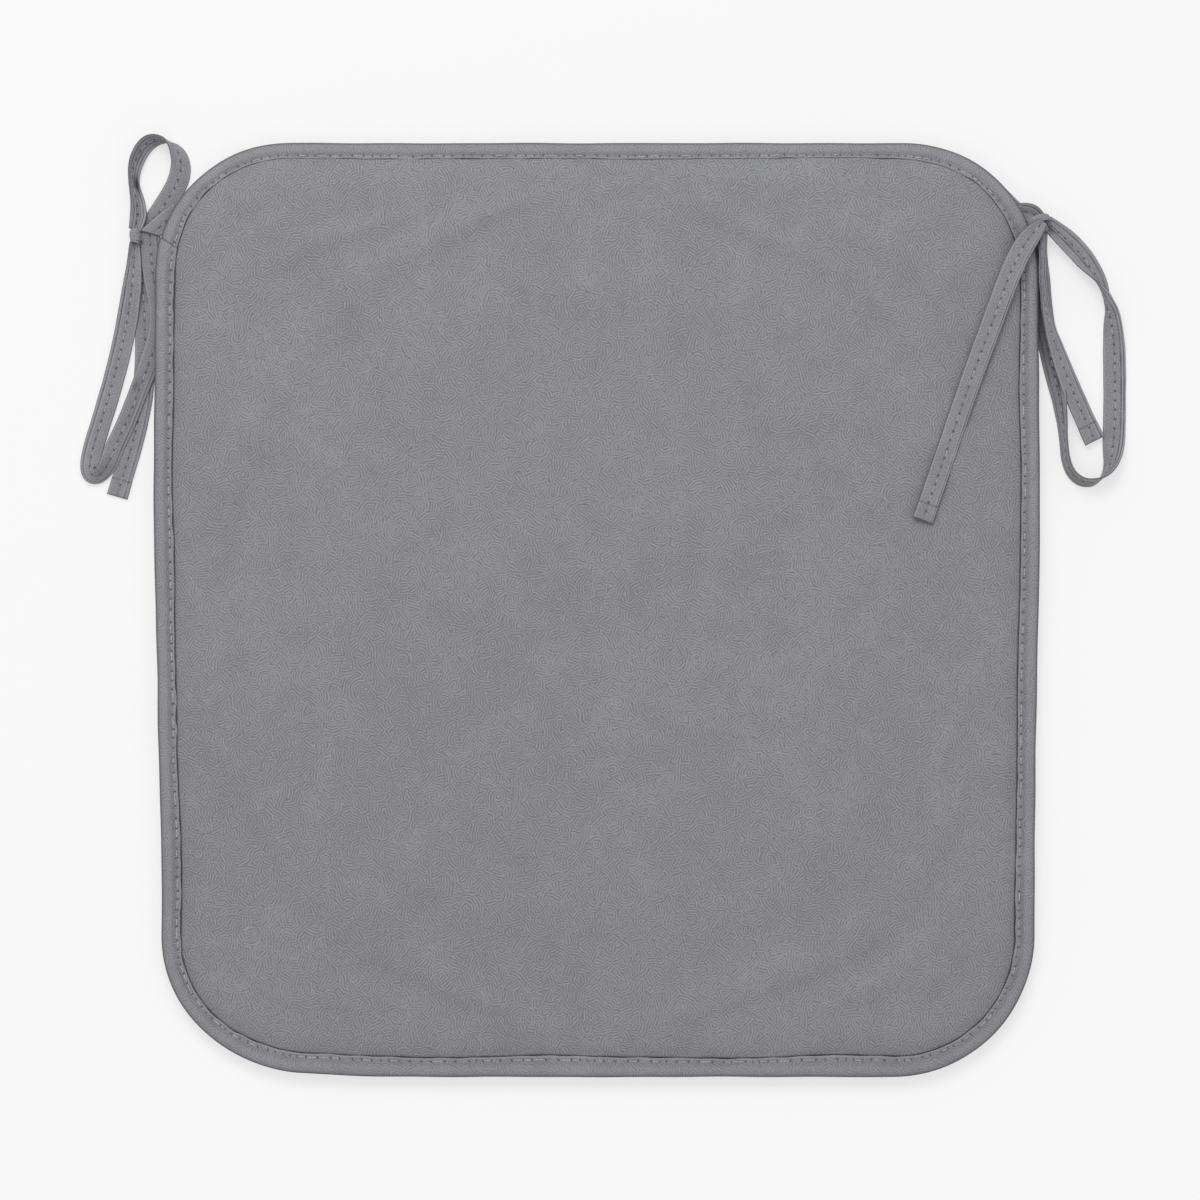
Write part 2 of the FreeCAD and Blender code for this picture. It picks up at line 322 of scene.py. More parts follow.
def walk_outline(count):
    """Points evenly round the edge from the middle of the front, outward directions, the length."""
    lean = math.atan(side_lean)
    arcs = []
    for side, y_sign, radius in ((1, -1, front_corner_radius), (1, 1, rear_corner_radius),
                                 (-1, 1, rear_corner_radius), (-1, -1, front_corner_radius)):
        y = y_sign * (half_depth - radius)
        half = front_half + side_lean * (y + half_depth)
        arcs.append((side * (half - radius / math.cos(lean)), y, radius))
    turns = [(-90, 0), (0, 90), (90, 180), (180, 270)]
    skew = [(0, -1), (-1, 0), (0, 1), (1, 0)]
    line, outward = [(0.0, -half_depth)], [(0.0, -1.0)]
    for (x, y, radius), (begin, end), (b_skew, e_skew) in zip(arcs, turns, skew):
        angles = np.linspace(math.radians(begin) + b_skew * lean,
                             math.radians(end) + e_skew * lean, 400)
        line += [(x + radius * math.cos(a), y + radius * math.sin(a)) for a in angles]
        outward += [(math.cos(a), math.sin(a)) for a in angles]
    line.append((0.0, -half_depth))
    outward.append((0.0, -1.0))
    line, outward = np.array(line), np.array(outward)
    along = np.concatenate([[0], np.cumsum(np.linalg.norm(np.diff(line, axis=0), axis=1))])
    at = np.arange(count) / count * along[-1]
    spots = np.stack([np.interp(at, along, line[:, k]) for k in (0, 1)], 1)
    ways = np.stack([np.interp(at, along, outward[:, k]) for k in (0, 1)], 1)
    ways /= np.linalg.norm(ways, axis=1)[:, None]
    for x, y, reach, pull in hand_pulls:
        far = np.hypot(spots[:, 0] - x * mm, spots[:, 1] - y * mm) / (reach * mm)
        spots = spots + ways * (pull * mm * np.exp(-far ** 2))[:, None]
    return spots, ways, along[-1]


edge_length = walk_outline(8)[2]
stitch_pitch = 4.4 * mm
stitches = round(edge_length / stitch_pitch)
stitch_pitch = edge_length / stitches
print("edge", round(edge_length / mm), "mm,",
      stitches, "stitches of", round(stitch_pitch / mm, 2), "mm")

# %% [markdown]
# ## A hand's unevenness
# Nothing sewn is exact. A few waves of different lengths, added up with random phases, give
# a number that wanders as one goes round the edge and meets itself at the start. The random
# draws are seeded, so every run sews the same pad.


# %% Let numbers wander round the edge
def wander(share_round, seed, longest, shortest):
    """A wandering number, about -1 to 1, at each share of the way round; wave lengths in metres."""
    draws = random.Random(seed)
    low, high = max(1, round(edge_length / longest)), round(edge_length / shortest)
    chosen = [draws.uniform(low, high) for _ in range(14)]
    total = np.zeros(len(share_round))
    for turns in chosen:
        phase = draws.uniform(0, math.tau)
        total += np.sin(math.tau * round(turns) * share_round + phase)
    return total / math.sqrt(len(chosen) / 2) / 1.6


def soft_step(number):
    """0 below 0, 1 above 1, and a soft step in between."""
    number = np.clip(number, 0, 1)
    return number * number * (3 - 2 * number)


def hump(place, middle, width):
    """1 at the middle, and fading to nothing about twice this width away."""
    return np.exp(-((place - middle) / width) ** 2)


# %% [markdown]
# ## The binding's width
# The binding is folded by hand too. It is a little narrower along the rear edge and wider in
# front, and its width wanders slowly. The covers start to rise wherever its fold lies, so the
# two share one function.


# %% Find a place on the edge, and the binding's fold there
spots_round, ways_round, _ = walk_outline(4000)


def on_edge(shares):
    """Points and outward directions at these shares of the way round."""
    index = (shares % 1.0) * len(spots_round)
    low = np.floor(index).astype(int) % len(spots_round)
    part = (index - np.floor(index))[:, None]
    spots = spots_round[low] * (1 - part) + spots_round[(low + 1) % len(spots_round)] * part
    ways = ways_round[low] * (1 - part) + ways_round[(low + 1) % len(spots_round)] * part
    return spots, ways / np.linalg.norm(ways, axis=1)[:, None]


def fold_shift(shares):
    """How much further in than usual the binding's fold lies."""
    rear = on_edge(shares)[1][:, 1]
    return (-0.95 * rear - 0.40 * rear ** 2 + 0.40 * wander(shares, 29, 300 * mm, 60 * mm)) * mm


def groove_shade(shares):
    """How dark the groove inside the fold is: tight at the sides, nearly closed at the rear."""
    rear = on_edge(shares)[1][:, 1]
    shade = 0.78 - 0.70 * np.clip(rear, 0, 1) - 0.28 * np.clip(-rear, 0, 1)
    return np.clip(shade + 0.18 * wander(shares, 73, 120 * mm, 12 * mm), 0.03, 0.9)


# %% [markdown]
# ## The covers' layout
# A cover is flat cloth, so its mesh starts as a flat layout. Near the seam it needs a point
# every millimetre, to hold the puckers that the stitches pull. Further in a point every three
# millimetres is enough. So fine rings follow the edge, one ring passes from three points to
# one, and the middle is a grid. A grid on a rounded square is a Coons patch: its four sides
# are quarters of the last ring, and every inner point is blended from the four.


# %% Fill the middle of a ring
def middle_grid(ring, first, free):
    """Inner points and faces of a grid whose four sides are quarters of a ring.

    The ring's own points are numbered from first, and the inner ones from free.
    """
    count = len(ring)
    ways = walk_outline(count)[1]
    corner = [int(np.argmax(ways @ np.array(way))) for way in ((1, 1), (-1, 1), (-1, -1), (1, -1))]
    wide = round(((corner[1] - corner[0]) % count + (corner[3] - corner[2]) % count) / 2)
    deep = count // 2 - wide
    number = [(corner[0] + i) % count for i in range(count + 1)]
    rear, left = number[:wide + 1], number[wide:wide + deep + 1]
    front = number[wide + deep:2 * wide + deep + 1][::-1]
    right = number[2 * wide + deep:][::-1]
    grid = {}
    for i in range(wide + 1):
        grid[i, 0], grid[i, deep] = first + rear[i], first + front[i]
    for j in range(deep + 1):
        grid[0, j], grid[wide, j] = first + right[j], first + left[j]
    inner = []
    for i in range(1, wide):
        for j in range(1, deep):
            u, v = i / wide, j / deep
            grid[i, j] = free + len(inner)
            inner.append((1 - v) * ring[rear[i]] + v * ring[front[i]]
                         + (1 - u) * ring[right[j]] + u * ring[left[j]]
                         - (1 - u) * (1 - v) * ring[rear[0]] - u * (1 - v) * ring[rear[wide]]
                         - (1 - u) * v * ring[front[0]] - u * v * ring[front[wide]])
    return inner, [(grid[i, j], grid[i + 1, j], grid[i + 1, j + 1], grid[i, j + 1])
                   for i in range(wide) for j in range(deep)]


# %% Lay out a cover
def cover_layout(fine_insets, coarse_insets, fine_count, thin_out=3):
    """Flat points (x, y), each one's inset and share of the way round, and faces."""
    points, insets, shares, faces = [], [], [], []
    coarse_count = fine_count // thin_out if fine_insets else fine_count

    def add_ring(count, inset):
        spots, ways, _ = walk_outline(count)
        points.extend(spots - ways * inset)
        insets.extend([inset] * count)
        shares.extend(np.arange(count) / count)
        return len(points) - count

    before = None
    for inset in fine_insets:
        ring = add_ring(fine_count, inset)
        if before is not None:
            faces.extend(ring_faces(before, ring, fine_count))
        before = ring
    thinning = before is not None
    for inset in coarse_insets:
        ring = add_ring(coarse_count, inset)
        if thinning:
            for i in range(coarse_count):
                fine = [before + (i * thin_out + k) % fine_count for k in range(thin_out + 1)]
                here, there = ring + i, ring + (i + 1) % coarse_count
                faces.extend([(fine[0], fine[1], here), (fine[1], fine[2], there, here),
                              (fine[2], fine[3], there)])
            thinning = False
        elif before is not None:
            faces.extend(ring_faces(before, ring, coarse_count))
        before = ring

    inner, quads = middle_grid(np.array(points[before:]), before, len(points))
    points += inner
    insets += [max(coarse_insets) + 1 * mm] * len(inner)
    shares += [0.0] * len(inner)
    return np.array(points), np.array(insets), np.array(shares), faces + quads


# %% [markdown]
# ## Letting the covers puff
# Foam pushes the covers out and the seam holds them down, so between the two they swell and
# ripple. That is easier to simulate than to model. A coarse cushion, both covers joined at the
# seam, is pinned there and blown up with Blender's Cloth. Each point may then move only as far
# as foam this thin can push it. The finer covers are laid on the result afterwards. Their rings
# have about four points to a stitch, in twelves, so that they thin out by threes and a quarter
# of a ring is still whole.

# %% Measures of the covers
bottom_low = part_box("bottom_cover")[0].z
top_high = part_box("top_cover")[1].z
cover_cloth = 0.8 * mm
binding_width = 8.3 * mm
slope_start = 8.6 * mm
slope_width = 12.0 * mm
seam_level = (binding_low.z + binding_high.z) / 2
flange_lift = 0.45 * mm
most_swell = 0.7 * mm
coarse_ring = 330
cover_ring = stitches * 4 // 12 * 12
puff_frames = 20


def cover_height(insets, side):
    """The height of a cover's outer face, for side 1 above and -1 below the seam."""
    flat = top_high if side > 0 else bottom_low
    flange = seam_level + side * flange_lift
    climb = np.clip((insets - slope_start + 0.1 * mm) / slope_width, 0, 1)
    lip = 0.9 * mm * soft_step((insets - slope_start + 0.3 * mm) / (0.9 * mm))
    rise = 1 - (1 - climb) ** 2
    start = flange + side * (cover_cloth + lip)
    return start + (flat - start) * rise


# %% Blow up a coarse cushion
def puffed_cushion():
    """How far the top and the bottom swell, each as a surface whose height can be read."""
    spots, insets, _, faces = cover_layout(
        [], [9 * mm, 12 * mm, 16 * mm, 21 * mm, 27 * mm], coarse_ring)
    count = len(spots)
    points = [(x, y, z) for side in (1, -1) for (x, y), z in zip(spots, cover_height(insets, side))]
    quads = faces + [tuple(count + n for n in face[::-1]) for face in faces]
    quads += ring_faces(count, 0, coarse_ring)
    mesh = bpy.data.meshes.new("cushion_to_puff")
    mesh.from_pydata(points, [], quads)
    cushion = bpy.data.objects.new("cushion_to_puff", mesh)
    bpy.context.scene.collection.objects.link(cushion)
    pinned = cushion.vertex_groups.new(name="seam")
    pinned.add([*range(coarse_ring), *range(count, count + coarse_ring)], 1.0, "REPLACE")
    cloth = cushion.modifiers.new("Cloth", "CLOTH")
    cloth.settings.quality = 4
    cloth.settings.vertex_group_mass = "seam"
    cloth.settings.use_pressure = True
    cloth.settings.uniform_pressure_force = 0.6
    cloth.settings.shrink_min = -0.012
    cloth.settings.effector_weights.gravity = 0.0
    cloth.collision_settings.use_collision = False
    scene = bpy.context.scene
    for frame_number in range(1, puff_frames + 1):
        scene.frame_set(frame_number)
    swollen = cushion.evaluated_get(bpy.context.evaluated_depsgraph_get()).to_mesh()
    moved = np.array([vertex.co for vertex in swollen.vertices])
    scene.frame_set(1)
    bpy.data.objects.remove(cushion)
    lift = moved[:, 2] - np.array(points)[:, 2]
    print("puffed by", np.round(np.percentile(lift, [1, 25, 50, 75, 99]) / mm, 2), "mm")
    found = {}
    for side, part in ((1, slice(0, count)), (-1, slice(count, 2 * count))):
        swell = side * lift[part]
        swell = most_swell * np.tanh((swell - np.median(swell)) / most_swell)
        found[side] = BVHTree.FromPolygons(
            [(x, y, z) for (x, y), z in zip(spots, swell)], faces)
    return found


puff = puffed_cushion()

# %% [markdown]
# ## The covers
# Each cover is cloth 0.8 mm thick, so it has an outer and an inner face. Its rim, the flange,
# runs flat inside the binding. From the binding's fold it rises over the foam's edge and lies
# flat. Where a stitch pulls the cloth down it puckers: short dips, one to a stitch and never
# two alike, that die away over a few millimetres.


# %% Sew a cover
def swell_at(spots, side):
    """How far the simulated swelling lifts each point off the foam."""
    if puff is None:
        return np.zeros(len(spots))
    lifts = []
    for x, y in spots:
        hit = puff[side].ray_cast(Vector((x, y, 1.0)), Vector((0.0, 0.0, -1.0)))[0]
        lifts.append(hit.z if hit else 0.0)
    return np.array(lifts)


def cover(name, side, seed, stands_for):
    fine = [2.6, 5.4, 7.6, 8.2, 8.6, 9.0, 9.5, 10.2, 11.1, 12.3, 13.8, 15.6, 17.8]
    coarse = [20.5, 24.0]
    spots, insets, shares, faces = cover_layout(
        [inset * mm for inset in fine], [inset * mm for inset in coarse], cover_ring)
    past_fold = insets - slope_start
    following = np.clip(1 - past_fold / (14 * mm), 0, 1) * (insets > 5 * mm)
    spots = spots - on_edge(shares)[1] * (fold_shift(shares) * following)[:, None]

    near = insets < 24 * mm
    beyond = np.clip(past_fold / (1 * mm), 0, 1)
    fading = np.where(near, np.exp(-np.clip(past_fold, 0, None) / (3.6 * mm)) * beyond, 0)
    pull = 0.55 + 0.45 * wander(shares, seed, 60 * mm, 7 * mm)
    phase = shares * stitches + 0.35 * wander(shares, seed + 1, 40 * mm, 9 * mm)
    puckers = 0.20 * mm * fading * pull * np.cos(math.tau * phase)
    broad = np.where(near, np.exp(-np.clip(past_fold, 0, None) / (8 * mm)) * beyond, 0)
    gathers = 0.30 * mm * broad * wander(shares, seed + 2, 60 * mm, 14 * mm)
    lying = np.array([noise.noise(Vector((x / 0.05, y / 0.05, seed))) for x, y in spots])
    settled = soft_step(past_fold / (10 * mm))
    swell = swell_at(spots, side) * settled
    closed = 0.8 * mm * np.clip(1 - groove_shade(shares) / 0.65, 0, 1) * (insets > 8 * mm)
    heights = cover_height(insets, side) \
        + side * (puckers + gathers + swell - most_swell * 0.35 * settled) \
        + 0.16 * mm * lying * settled + side * closed * hump(past_fold, 0, 0.8 * mm)
    if side < 0:
        heights = np.maximum(heights, bottom_low)

    count = len(spots)
    outer = [(x, y, z) for (x, y), z in zip(spots, heights)]
    inner = [(x, y, z - side * cover_cloth) for (x, y), z in zip(spots, heights)]
    quads = faces + [tuple(count + n for n in face[::-1]) for face in faces]
    quads += [quad[::-1] for quad in ring_faces(0, count, cover_ring)]
    if side < 0:
        quads = [quad[::-1] for quad in quads]
    # painted shade in the groove inside the binding's fold, and fainter on the cover's slope beside it
    groove = groove_shade(shares) * hump(past_fold, -0.25 * mm, 0.36 * mm)
    groove += 0.14 * groove_shade(shares) * fading
    made = piece(name, outer + inner, quads, cover_finish, "cover_cloth", (stands_for,),
                 pressed=np.tile(np.clip(groove, 0, 1), 2))


cover("top_cover_cloth", 1, 11, "top_cover")
cover("bottom_cover_cloth", -1, 23, "bottom_cover")

# %% [markdown]
# ## The foam
# One sheet of foam fills the covers. Nobody sees it, but the pad is not hollow, so it is made
# too: the covers' layout again, a little smaller, with the two faces meeting at a blunt edge.


# %% Cut the foam
def foam_sheet():
    spots, insets, _, faces = cover_layout(
        [], [inset * mm for inset in (10.2, 11.6, 13.4, 15.6, 18.4, 22.0)], coarse_ring)
    count = len(spots)
    air = 0.25 * mm
    points = []
    for side in (1, -1):
        wear_and_painted_light = np.array([noise.noise(Vector((x / 0.03, y / 0.03, 5.0 * side))) for x, y in spots])
        heights = cover_height(insets, side) - side * (cover_cloth + air + (0.40 + 0.192 * wear_and_painted_light) * mm)
        points += [(x, y, z) for (x, y), z in zip(spots, heights)]
    quads = faces + [tuple(count + n for n in face[::-1]) for face in faces]
    quads += [quad[::-1] for quad in ring_faces(0, count, coarse_ring)]
    made = piece("foam_sheet", points, quads, foam_finish, "foam", ("foam_core",))


foam_sheet()

# %% [markdown]
# ## The binding
# The binding is a strip folded round the edge and stitched through both covers. It could be
# a bevelled curve, but then every part of it would be alike. Here a section, the strip seen
# end on, is placed six times to a stitch and bent a little each time: the stitches sink it,
# the cloth between them bulges, skewed creases cross it, and its folds wander. At the left
# rear corner one end is turned under and lapped over the other.

# %% The binding's section, round the outside and back along the inside
binding_cloth = 1.2 * mm
stitch_inset = 6.8 * mm
nose_inset = 2.6 * mm
fold_radius = binding_cloth / 2


def binding_section():
    """(inset, height, outward inset, outward height, side, outer) round the folded strip."""
    rows = []
    half = (binding_high.z - binding_low.z) / 2
    for side in (1, -1):
        path = []
        flats = [7.05, 6.8, 6.5, 6.0, 5.2, 4.2, 3.2]
        for angle in np.linspace(-90, 60, 6):
            a = math.radians(angle)
            path.append((binding_width - fold_radius + fold_radius * math.cos(a),
                         half - fold_radius + fold_radius * math.sin(a), math.cos(a), math.sin(a)))
        path.append((binding_width - fold_radius - 0.25 * mm, half, 0.0, 1.0))
        path += [(flat * mm, half, 0.0, 1.0) for flat in flats]
        for angle in np.linspace(90, 180, 6)[:-1]:
            a = math.radians(angle)
            path.append((nose_inset + nose_inset * math.cos(a), half * math.sin(a),
                         math.cos(a), math.sin(a)))
        rows.append([(i, side * h, oi, side * oh, side, 1.0) for i, h, oi, oh in path])
    outer = rows[0] + [(0.0, 0.0, -1.0, 0.0, 0, 1.0)] + rows[1][::-1]
    inner, low = [], half - binding_cloth
    for side in (-1, 1):
        path = [(7.0 * mm, low, 0.0, -1.0), (5.0 * mm, low, 0.0, -1.0), (3.0 * mm, low, 0.0, -1.0),
                (1.8 * mm, low * 0.75, 0.6, -0.7)]
        path = [(i, side * h, oi, side * oh, side, 0.0) for i, h, oi, oh in path]
        inner += path if side < 0 else [(binding_cloth, 0.0, 1.0, 0.0, 0, 0.0)] + path[::-1]
    return np.array(outer + inner)


section = binding_section()
lap_corner = np.array([-181.2, 155.0]) * mm
from_corner = np.linalg.norm(spots_round - ways_round * binding_width - lap_corner, axis=1)
lap_share = int(np.argmin(from_corner)) / len(spots_round)
print("the binding's section has", len(section), "points; the lap is at", round(lap_share, 3))


# %% Feed the strip unevenly
def uneven_feed(shares):
    """How far, in stitches, the hand at the machine is ahead of an even pace."""
    return 0.32 * wander(shares, 79, 90 * mm, 20 * mm) + 0.13 * wander(shares, 83, 16 * mm, 9 * mm)


def stitch_phase(shares):
    """How many stitches lie between the start and each share."""
    return shares * stitches + uneven_feed(shares)


def share_at(phase):
    """The share where this many stitches are sewn, found by closing in on it."""
    shares = phase / stitches
    for _ in range(12):
        shares = (phase - uneven_feed(shares)) / stitches
    return shares


def edge_wobble(shares):
    """How far the binding's outer edge and its inner fold wander from their lines."""
    outer = 0.12 * mm * wander(shares, 31, 200 * mm, 25 * mm)
    fold = 0.16 * mm * wander(shares, 37, 70 * mm, 10 * mm)
    jogs = random.Random(41)
    turn = 1.4 * mm / edge_length
    for _ in range(11):
        at, reach, jump = jogs.random(), jogs.uniform(4, 16) * mm / edge_length, jogs.uniform(-0.5, 0.5)
        fold += jump * mm * (soft_step((shares - at) / turn) - soft_step((shares - at - reach) / turn))
    return outer, fold


# %% Crease the strip and lap its end
def way_from(shares, at):
    """How far along the edge each share lies from this one."""
    return ((shares[:, None] - at + 0.5) % 1.0 - 0.5) * edge_length


def skewed_creases(shares, inset):
    """How far creases, each with its own place, slant and depth, lift or dent the strip."""
    creases = np.zeros((len(shares), len(inset)))
    draws = random.Random(47)
    for _ in range(150):
        at, skew = draws.random(), draws.uniform(-0.9, 0.9)
        width, depth = draws.uniform(0.5, 1.5) * mm, draws.uniform(-0.22, 0.14) * mm
        middle, reach = draws.uniform(3.0, 7.5) * mm, draws.uniform(1.5, 3.6) * mm
        gone = way_from(shares, at) - skew * (inset - middle)
        creases += depth * np.exp(-(gone / width) ** 2 - ((inset - middle) / reach) ** 2)
    return creases * soft_step((inset - 1.2 * mm) / (2 * mm))


def lapped_end(shares, inset):
    """How far the end that is lapped over lifts the strip, and the painted shade along its fold line.
    """
    lap = way_from(shares, lap_share) - 0.35 * (inset - binding_width)
    lapped = soft_step((lap + 0.15 * mm) / (0.3 * mm)) * (1 - soft_step((lap - 1 * mm) / (11 * mm)))
    dent = 0.25 * mm * hump(lap, -0.9 * mm, 0.5 * mm)
    # the second number is painted shade along the lap's fold
    return 0.55 * mm * lapped - dent, 0.75 * hump(lap, -0.2 * mm, 0.25 * mm)


# %% Bend the strip round the edge
def binding_surface(shares):
    """Sections round the edge, an array of (x, y, z), and the painted shade and painted highlight on
    their cloth.
    """
    spots, ways = on_edge(shares)
    inset, height, out_inset, out_height, _, outer = section.T
    outer_wobble, fold_wobble = edge_wobble(shares)
    across = inset / binding_width
    insets = inset - outer_wobble[:, None] * (1 - across) + fold_wobble[:, None] * across ** 3 \
        + fold_shift(shares)[:, None] * np.clip(across * 1.45 - 0.45, 0, 1)

    phase = stitch_phase(shares)[:, None]
    strength = 0.75 + 0.35 * wander(shares, 43, 40 * mm, 8 * mm)[:, None]
    bulge = 0.5 - 0.5 * np.cos(math.tau * phase)
    sink = -(0.42 - 0.16 * bulge * strength) * mm * hump(inset, stitch_inset, 1.5 * mm)
    crown = 0.30 * mm * hump(inset, 4.0 * mm, 1.7 * mm)
    lip = 0.12 * mm * hump(inset, 8.1 * mm, 0.5 * mm)
    puffy = 0.16 * mm * wander(shares, 53, 50 * mm, 10 * mm)[:, None] \
        * soft_step((inset - 1 * mm) / (2 * mm))
    lap, lap_line = lapped_end(shares, inset)
    from_hole = ((phase + 0.5) % 1.0 - 0.5) * stitch_pitch
    holes = hump(inset, stitch_inset, 0.34 * mm) * hump(from_hole, 0, 0.33 * mm)
    lifted = (sink + crown + lip + skewed_creases(shares, inset) + puffy + lap
              - 0.5 * mm * holes) * outer
    insets = insets + lifted * out_inset * np.where(inset < nose_inset, 1.0, 0.3)
    heights = seam_level + height + lifted * out_height
    places = spots[:, None, :] - ways[:, None, :] * insets[:, :, None]

    # painted shade: a dark line along the outer rim, the needle holes, a hollow by the stitch row, the
    # underside of the inner fold and the lap's fold line; painted highlight on the fold's crest and on
    # the crown
    shade = groove_shade(shares)[:, None]
    rim = 0.72 * hump(inset, 0.35 * mm, 0.6 * mm)
    hollow = 0.30 * shade * hump(inset, 5.7 * mm, 0.9 * mm)
    under_fold = shade * (inset > 7.6 * mm) * (np.abs(height) < 1.9 * mm)
    crest = 0.42 * hump(inset, 8.0 * mm, 0.3 * mm) * (np.abs(height) > 2.0 * mm) * (1 - 0.9 * shade)
    crown_light = 0.08 * hump(inset, 3.6 * mm, 1.3 * mm)
    pressed = np.clip(holes * 1.2 + rim + hollow + under_fold + lap_line, 0, 1) * outer
    rubbed = np.clip((crest + crown_light) * (0.6 + 0.5 * strength) - holes, 0, 1) * outer
    return np.concatenate([places, heights[:, :, None]], 2), pressed, rubbed


def binding_strip():
    phases = np.array([-0.11, 0.0, 0.11, 0.28, 0.5, 0.72])
    shares = share_at((np.arange(stitches)[:, None] + phases).ravel()) % 1.0
    closer = lap_share + np.arange(-3.4, 0.8, 0.22) * mm / edge_length
    surface, pressed, rubbed = binding_surface(np.unique(np.concatenate([shares, closer])))
    piece("binding_strip", surface.reshape(-1, 3), strip_faces(*surface.shape[:2]), binding_finish,
          "binding_cloth", ("edge_binding",), pressed=pressed.ravel(), rubbed=rubbed.ravel())


binding_strip()

# %% [markdown]
# ## Stitches
# Lockstitch shows as a short run of thread from one needle hole to the next, on both faces.
# Each stitch is a small tube of its own, swollen in the middle and bent down into the holes at
# its ends. The same function sews the binding and, later, the tapes: it takes the holes and
# the direction that is up at each.


# %% Sew rows of stitches
def stitch_rows(name, rows, thickness, seed, sunk=0.25 * mm, proud=0.16 * mm, stands_for=()):
    """In each row, a list of (hole, up), one tube from each hole to the next."""
    draws = random.Random(seed)
    points, faces = [], []
    steps, around = 9, 8
    for row in rows:
        for (start, up), (end, _) in zip(row, row[1:]):
            start, end, up = Vector(start), Vector(end), Vector(up).normalized()
            side = up.cross((end - start).normalized()).normalized()
            slack = draws.choice((-0.7, -0.5, -0.2, 0.1, 0.5, 1.2))
            sway = draws.uniform(-0.15, 0.15) * mm
            first = len(points)
            for i in range(steps):
                t = i / (steps - 1)
                arch = math.sin(math.pi * t) ** 0.7
                lift = arch * (sunk + proud * slack) - sunk
                middle = start.lerp(end, 0.04 + 0.92 * t) + up * lift + side * (sway * arch)
                radius = thickness / 2 * (0.45 + 0.55 * math.sin(math.pi * t) ** 0.4)
                for k in range(around):
                    a = math.tau * k / around
                    points.append(middle + side * (radius * math.cos(a))
                                  + up * (0.8 * radius * math.sin(a)))
            sunk_in_table = max(0.0, 0.02 * mm - min(point.z for point in points[first:]))
            for point in points[first:]:
                point.z += sunk_in_table
            for i in range(steps - 1):
                faces += ring_faces(first + i * around, first + (i + 1) * around, around)
            faces.append(tuple(first + k for k in range(around))[::-1])
            faces.append(tuple(first + (steps - 1) * around + k for k in range(around)))
    return piece(name, points, faces, thread_finish, "sewing_thread", stands_for)


hole_depth = 0.5 * mm


def binding_stitches(name, side, seed, stands_for):
    surface = binding_surface(share_at(np.arange(stitches)))[0]
    rows = [k for k in range(len(section))
            if section[k, 4] == side and section[k, 5] and section[k, 0] < 8 * mm]
    sewn_row = min(rows, key=lambda k: abs(section[k, 0] - stitch_inset))
    up = Vector((0.0, 0.0, float(side)))
    row = [(Vector(hole) + up * hole_depth, up) for hole in surface[:, sewn_row]]
    across_lap = binding_surface(lap_share + np.array([-1.3, 1.0]) * mm / edge_length)[0]
    inward = [k for k in rows if 4 * mm < section[k, 0] < 6 * mm][0]
    at_lap = [(Vector(spot), up) for spot in across_lap[:, inward]]
    stitch_rows(name, [row + row[:1], at_lap], 0.42 * mm, seed, proud=0.42 * mm,
                stands_for=(stands_for,))


binding_stitches("needle_thread", 1, 61, "binding_needle_thread")
binding_stitches("bobbin_thread", -1, 67, "binding_bobbin_thread")

# %% [markdown]
# ## The tapes
# Each tie is a strip of the cloth folded flat, 9 mm wide and 1 mm thick, with a row of
# stitches down its middle. A curve with a bevel would make a tape that can't turn over, and
# turning over is what these tapes do: they stand on an edge in a bend, flip in a loop and
# roll into a trough where a knot squeezes them. So each tape is swept one section at a time along a
# route.
#
# A route is a table of points, each where the tape turns: across and along from
# the point where the tape leaves the pad, the height, then how the tape lies there. The lean
# is its turn about its own line in degrees, 0 flat and 90 on edge. The curl is how far it is
# rolled into a trough, and the last number is its share of the full width.
#
# A NURBS spline through the table's control points gives the smooth middle line. The same
# spline, fed leans and curls instead of places, blends those numbers in step with the line.

# %% Read a smooth line from a NURBS spline
tape_width = 9.0 * mm
tape_thickness = 1.0 * mm
tape_stitch_pitch = 4.0 * mm
first_hole = 3.0 * mm
hem_depth = 7.4 * mm


def spline_through(rows):
    """The points of an order 3 NURBS spline with these control points."""
    curve = bpy.data.curves.new("route", "CURVE")
    curve.dimensions = "3D"
    curve.resolution_u = 24
    spline = curve.splines.new("NURBS")
    spline.points.add(len(rows) - 1)
    for point, row in zip(spline.points, rows):
        point.co = (*row, 1.0)
    spline.order_u = 3
    spline.use_endpoint_u = True
    holder = bpy.data.objects.new("route", curve)
    line = bpy.data.meshes.new_from_object(holder)
    found = np.array([vertex.co for vertex in line.vertices])
    bpy.data.objects.remove(holder)
    return found


def spaced_route(rows, anchor, base):
    """The route at and between the stitch holes: distances, places and how the tape lies."""
    places = spline_through([(anchor.x + x * mm, anchor.y + y * mm, base + z * mm)
                             for x, y, z, _, _, _ in rows])
    lies = spline_through([(lean * 0.01, curl * 0.01, share) for _, _, _, lean, curl, share in rows])
    lies = lies * (100.0, 100.0, 1.0)
    along = np.concatenate([[0], np.cumsum(np.linalg.norm(np.diff(places, axis=0), axis=1))])
    holes = first_hole + tape_stitch_pitch * np.arange(-1, along[-1] // tape_stitch_pitch + 1)
    close = np.array([0.0, 0.12, 0.3, 0.6, 1.0]) * mm
    phases = np.array([-0.09, 0, 0.09, 0.28, 0.5, 0.72])
    round_hem = along[-1] - hem_depth - np.array([-0.3, 0, 0.3]) * mm
    at = np.concatenate([(holes[:, None] + tape_stitch_pitch * phases).ravel(),
                         close, along[-1] - close, round_hem])
    at = np.sort(at[(at >= 0) & (at <= along[-1])])
    at = at[np.append(np.diff(at) > 0.05 * mm, True)]
    middle, lie = (np.stack([np.interp(at, along, table[:, k]) for k in range(3)], 1)
                   for table in (places, lies))
    return at, middle, lie


# %% Close a tape's ends
across_tape = [0.0, 0.07, 0.15, 0.27, 0.42, 0.54, 0.60, 0.66, 0.73, 0.80, 0.86, 0.92, 0.97, 1.0]
across_tape = np.array([-share for share in across_tape[:0:-1]] + across_tape)


